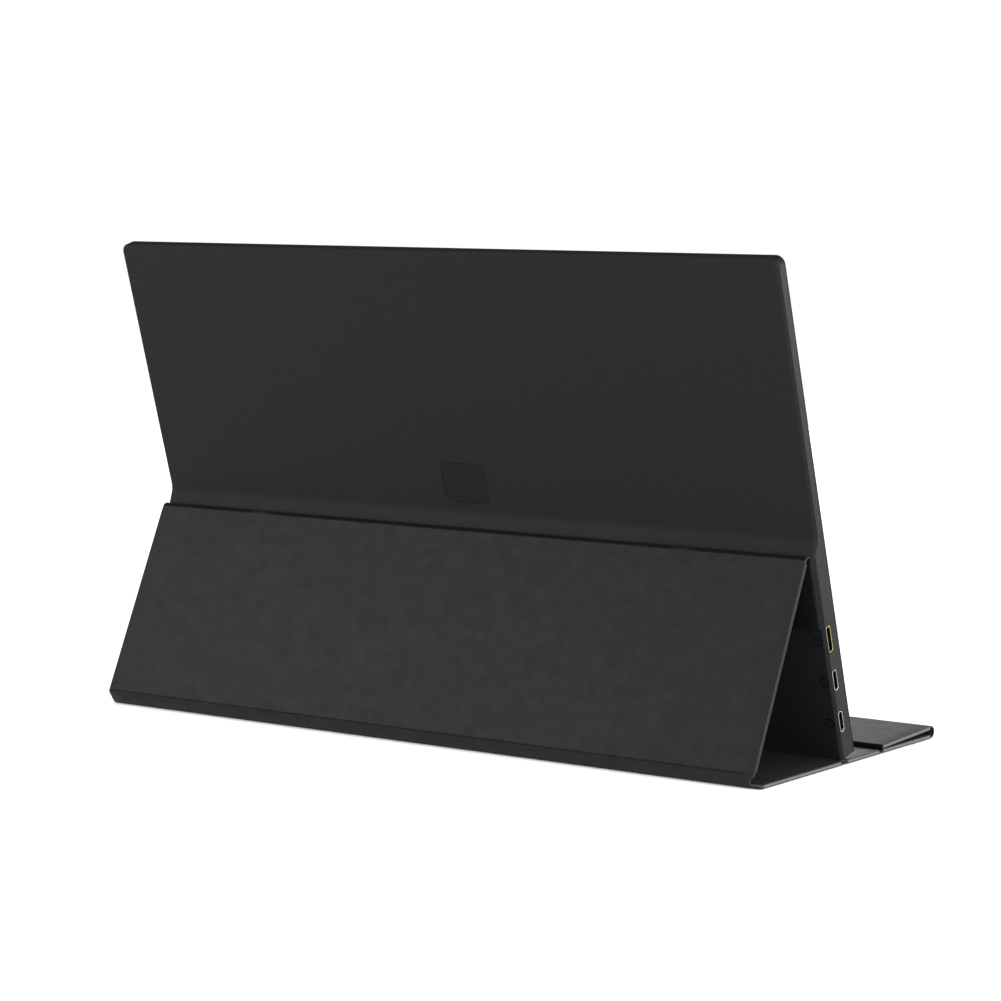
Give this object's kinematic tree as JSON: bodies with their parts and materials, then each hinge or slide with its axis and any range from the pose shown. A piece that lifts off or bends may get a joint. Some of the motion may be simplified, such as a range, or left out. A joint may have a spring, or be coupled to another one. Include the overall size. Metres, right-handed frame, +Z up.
{
  "type": "portable monitor",
  "caption": "Thin portable monitor leaning on its folding cover, which makes a strut, a flat base and a folded front lip; sockets on one side and push buttons on the other.",
  "frame": {"origin": "on the table, under the middle of the footprint", "axes": "+X along the screen's width from the sockets to the buttons, -Y the way the screen faces, +Z up"},
  "size_m": [0.356, 0.146, 0.2143],
  "materials": {
    "shell": "fine matte dark coating",
    "bezel": "matte black",
    "screen": "anti-glare, switched off",
    "optical_sheet": "clear and white sheets",
    "tray": "plain sheet",
    "board": "green solder mask",
    "cable": "flat film cable",
    "steel": "bare steel",
    "gold_shell": "gold plated",
    "black_plastic": "moulded black",
    "badge": "bare satin plate",
    "tape": "adhesive sheet",
    "skin": "fine-grained dark cover skin",
    "core": "stiff pressed board",
    "lining": "soft woven lining"
  },
  "bodies": {
    "monitor": {"rear_cover": "shell", "front_bezel": "bezel", "badge_plate": "badge", "lcd_cell": "screen", "diffuser_film": "optical_sheet", "light_guide": "optical_sheet", "reflector_sheet": "optical_sheet", "led_strip": "board", "backlight_tray": "tray", "source_board": "board", "main_board": "board", "key_board": "board", "board_screws": "steel", "scaler_chip": "black_plastic", "chip_shield": "steel", "panel_cable": "cable", "key_cable": "cable", "speaker_cable": "cable", "speaker_left": "black_plastic", "speaker_right": "black_plastic", "mini_hdmi_shell": "gold_shell", "mini_hdmi_tongue": "black_plastic", "usb_c_upper_shell": "steel", "usb_c_upper_tongue": "black_plastic", "usb_c_lower_shell": "steel", "usb_c_lower_tongue": "black_plastic", "key_switches": "black_plastic", "headphone_socket": "black_plastic", "flap_tape": "tape", "flap_skin": "skin", "flap_board": "core", "flap_lining": "lining", "top_fold": "skin"},
    "power_button": {"power_button": "bezel"},
    "menu_button": {"menu_button": "bezel"},
    "strut": {"strut_skin": "skin", "strut_board": "core", "strut_lining": "lining"},
    "heel": {"heel_strip": "skin"},
    "base_rear": {"base_rear_skin": "skin", "base_rear_board": "core", "base_rear_lining": "lining"},
    "base_front": {"base_front_skin": "skin", "base_front_board": "core", "base_front_lining": "lining"},
    "lip_lower": {"lip_lower_skin": "skin", "lip_lower_board": "core", "lip_lower_lining": "lining", "front_fold": "skin"},
    "lip_upper": {"lip_upper_lining": "lining", "lip_upper_board": "core", "lip_upper_skin": "skin"}
  },
  "joints": [
    {"name": "top_fold_hinge", "type": "hinge", "parent": "monitor", "child": "strut", "pos_m": [0, 0.03169, 0.08781], "axis": [1, 0, 0], "range_deg": [0, 135], "deforming": ["top_fold"]},
    {"name": "heel_hinge", "type": "hinge", "parent": "strut", "child": "heel", "pos_m": [0, 0.07263, 0.0059], "axis": [1, 0, 0], "range_deg": [0, 61]},
    {"name": "base_hinge", "type": "hinge", "parent": "heel", "child": "base_rear", "pos_m": [0, 0.06853, 0.0004], "axis": [1, 0, 0], "range_deg": [0, 53]},
    {"name": "rear_crease_hinge", "type": "hinge", "parent": "base_rear", "child": "base_front", "pos_m": [0, 0.00347, 0.0004], "axis": [1, 0, 0], "range_deg": [0, 90]},
    {"name": "front_crease_hinge", "type": "hinge", "parent": "base_front", "child": "lip_lower", "pos_m": [0, -0.02708, 0.0004], "axis": [-1, 0, 0], "range_deg": [0, 75]},
    {"name": "front_fold_hinge", "type": "hinge", "parent": "lip_lower", "child": "lip_upper", "pos_m": [0, -0.07033, 0.0027], "axis": [1, 0, 0], "range_deg": [0, 182], "deforming": ["front_fold"]},
    {"name": "power_press", "type": "slide", "parent": "monitor", "child": "power_button", "axis": [-1, 0, 0], "range_m": [0, 0.0005], "stiffness_N_per_m": 2000, "springref_m": -0.0005},
    {"name": "menu_press", "type": "slide", "parent": "monitor", "child": "menu_button", "axis": [-1, 0, 0], "range_m": [0, 0.0005], "stiffness_N_per_m": 2000, "springref_m": -0.0005}
  ]
}
